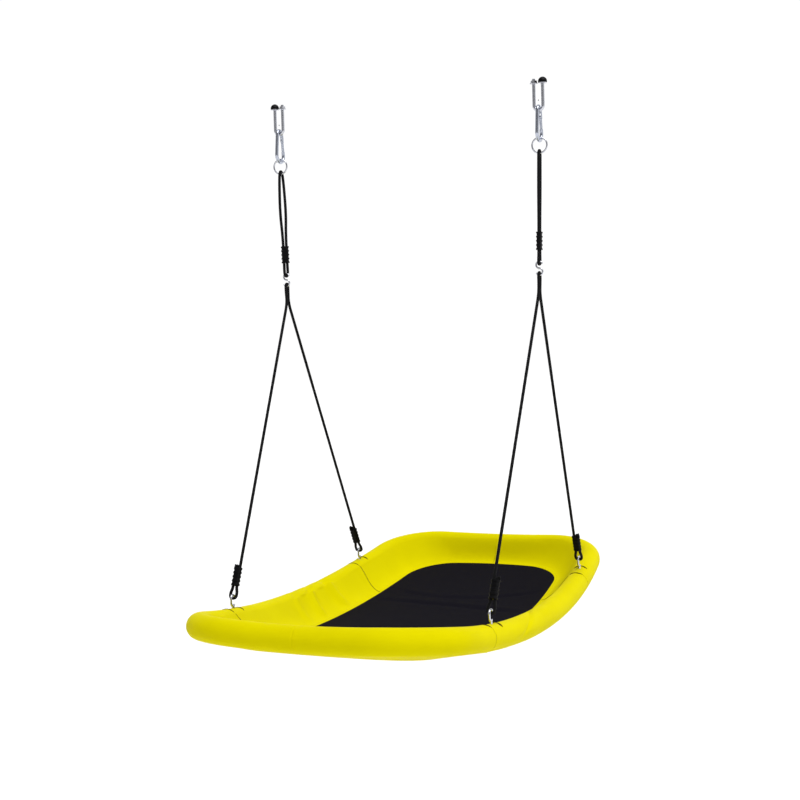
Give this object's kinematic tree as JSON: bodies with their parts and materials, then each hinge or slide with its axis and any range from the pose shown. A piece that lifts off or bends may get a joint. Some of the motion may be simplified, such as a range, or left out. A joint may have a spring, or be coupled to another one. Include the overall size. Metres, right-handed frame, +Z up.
{
  "type": "platform swing seat",
  "caption": "Padded oblong platform swing seat on two adjustable V ropes, hung by S-hooks, rings and carabiners from two U-bolts.",
  "frame": {"origin": "on the plane of the beam's underside, midway between the two U-bolts", "axes": "+Z up, +X along the beam from the left to the right U-bolt, +Y along the seat away from its near end"},
  "size_m": [0.8246, 1.5238, 1.489],
  "materials": {
    "rope": "braided",
    "adjuster": "moulded",
    "dome_cap": "gloss",
    "foam": "closed-cell foam",
    "frame_steel": "powder coated",
    "mat_fabric": "woven",
    "cover_fabric": "smooth woven polyester",
    "spring_steel": "bright",
    "carabiner_steel": "zinc plated",
    "zinc_steel": "zinc plated"
  },
  "bodies": {
    "hangers": {"left_u_bolt": "zinc_steel", "right_u_bolt": "zinc_steel", "beam_washers": "zinc_steel", "dome_nuts": "dome_cap", "lock_nuts": "zinc_steel"},
    "left_hook": {"left_carabiner": "carabiner_steel", "left_gate_pin": "spring_steel", "left_gate_spring": "spring_steel"},
    "left_gate": {"left_gate": "carabiner_steel"},
    "left_loop": {"left_ring": "zinc_steel", "left_upper_rope": "rope"},
    "left_upper_slider": {"left_upper_adjuster": "adjuster"},
    "left_legs": {"left_s_hook": "zinc_steel", "left_v_rope": "rope", "near_left_tail": "rope", "far_left_tail": "rope"},
    "near_left_slider": {"near_left_adjuster": "adjuster", "near_left_knot": "rope"},
    "far_left_slider": {"far_left_adjuster": "adjuster", "far_left_knot": "rope"},
    "right_hook": {"right_carabiner": "carabiner_steel", "right_gate_pin": "spring_steel", "right_gate_spring": "spring_steel"},
    "right_gate": {"right_gate": "carabiner_steel"},
    "right_loop": {"right_ring": "zinc_steel", "right_upper_rope": "rope"},
    "right_upper_slider": {"right_upper_adjuster": "adjuster"},
    "right_legs": {"right_s_hook": "zinc_steel", "right_v_rope": "rope", "near_right_tail": "rope", "far_right_tail": "rope"},
    "near_right_slider": {"near_right_adjuster": "adjuster", "near_right_knot": "rope"},
    "far_right_slider": {"far_right_adjuster": "adjuster", "far_right_knot": "rope"},
    "seat": {"far_border": "cover_fabric", "far_foam": "foam", "far_left_eye_hook": "zinc_steel", "far_left_sleeve": "cover_fabric", "far_right_eye_hook": "zinc_steel", "far_right_sleeve": "cover_fabric", "far_tube": "frame_steel", "frame_spigots": "frame_steel", "hook_nuts": "zinc_steel", "left_border": "cover_fabric", "left_foam": "foam", "left_sleeve": "cover_fabric", "left_tube": "frame_steel", "near_border": "cover_fabric", "near_foam": "foam", "near_left_eye_hook": "zinc_steel", "near_left_sleeve": "cover_fabric", "near_right_eye_hook": "zinc_steel", "near_right_sleeve": "cover_fabric", "near_tube": "frame_steel", "right_border": "cover_fabric", "right_foam": "foam", "right_sleeve": "cover_fabric", "right_tube": "frame_steel", "seat_mat": "mat_fabric"}
  },
  "joints": [
    {"name": "left_swing", "type": "hinge", "parent": "hangers", "child": "left_hook", "pos_m": [-0.388, 0, -0.02825], "axis": [1, 0, 0], "range_deg": [-45, 45]},
    {"name": "left_gate_open", "type": "hinge", "parent": "left_hook", "child": "left_gate", "pos_m": [-0.388, 0.0147, -0.04397], "axis": [1, 0, 0], "range_deg": [-28, 0], "stiffness_Nm_per_rad": 0.05, "springref_deg": 8.59},
    {"name": "left_sway", "type": "hinge", "parent": "left_hook", "child": "left_loop", "pos_m": [-0.388, 0, -0.108], "axis": [0, 1, 0], "range_deg": [-8, 8]},
    {"name": "left_upper_adjust", "type": "slide", "parent": "left_loop", "child": "left_upper_slider", "axis": [-0.0241, 0, 0.9997], "range_m": [0, 0.03]},
    {"name": "left_pitch", "type": "hinge", "parent": "left_loop", "child": "left_legs", "pos_m": [-0.3803, 0, -0.428], "axis": [1, 0, 0], "range_deg": [-12, 12]},
    {"name": "near_left_adjust", "type": "slide", "parent": "left_legs", "child": "near_left_slider", "axis": [-0.0272, 0.4515, 0.8919], "range_m": [0, 0.15], "deforming": ["near_left_tail"]},
    {"name": "far_left_adjust", "type": "slide", "parent": "left_legs", "child": "far_left_slider", "axis": [-0.0272, -0.4515, 0.8919], "range_m": [0, 0.15], "deforming": ["far_left_tail"]},
    {"name": "right_swing", "type": "hinge", "parent": "hangers", "child": "right_hook", "pos_m": [0.388, 0, -0.02825], "axis": [1, 0, 0], "range_deg": [-45, 45]},
    {"name": "right_gate_open", "type": "hinge", "parent": "right_hook", "child": "right_gate", "pos_m": [0.388, 0.0147, -0.04397], "axis": [1, 0, 0], "range_deg": [-28, 0], "stiffness_Nm_per_rad": 0.05, "springref_deg": 8.59},
    {"name": "right_sway", "type": "hinge", "parent": "right_hook", "child": "right_loop", "pos_m": [0.388, 0, -0.108], "axis": [0, 1, 0], "range_deg": [-8, 8]},
    {"name": "right_upper_adjust", "type": "slide", "parent": "right_loop", "child": "right_upper_slider", "axis": [0.0241, 0, 0.9997], "range_m": [0, 0.03]},
    {"name": "right_pitch", "type": "hinge", "parent": "right_loop", "child": "right_legs", "pos_m": [0.3803, 0, -0.428], "axis": [1, 0, 0], "range_deg": [-12, 12]},
    {"name": "near_right_adjust", "type": "slide", "parent": "right_legs", "child": "near_right_slider", "axis": [0.0272, 0.4515, 0.8919], "range_m": [0, 0.15], "deforming": ["near_right_tail"]},
    {"name": "far_right_adjust", "type": "slide", "parent": "right_legs", "child": "far_right_slider", "axis": [0.0272, -0.4515, 0.8919], "range_m": [0, 0.15], "deforming": ["far_right_tail"]},
    {"name": "seat_level", "type": "hinge", "parent": "left_legs", "child": "seat", "pos_m": [-0.3596, 0, -1.28792], "axis": [0, 1, 0], "range_deg": [-9, 9]}
  ],
  "couplings": [
    {"joint": "right_swing", "follows": "left_swing", "ratio": 1},
    {"joint": "right_sway", "follows": "left_sway", "ratio": 1},
    {"joint": "right_pitch", "follows": "left_pitch", "ratio": 1},
    {"joint": "seat_level", "follows": "left_sway", "ratio": -1.079}
  ]
}
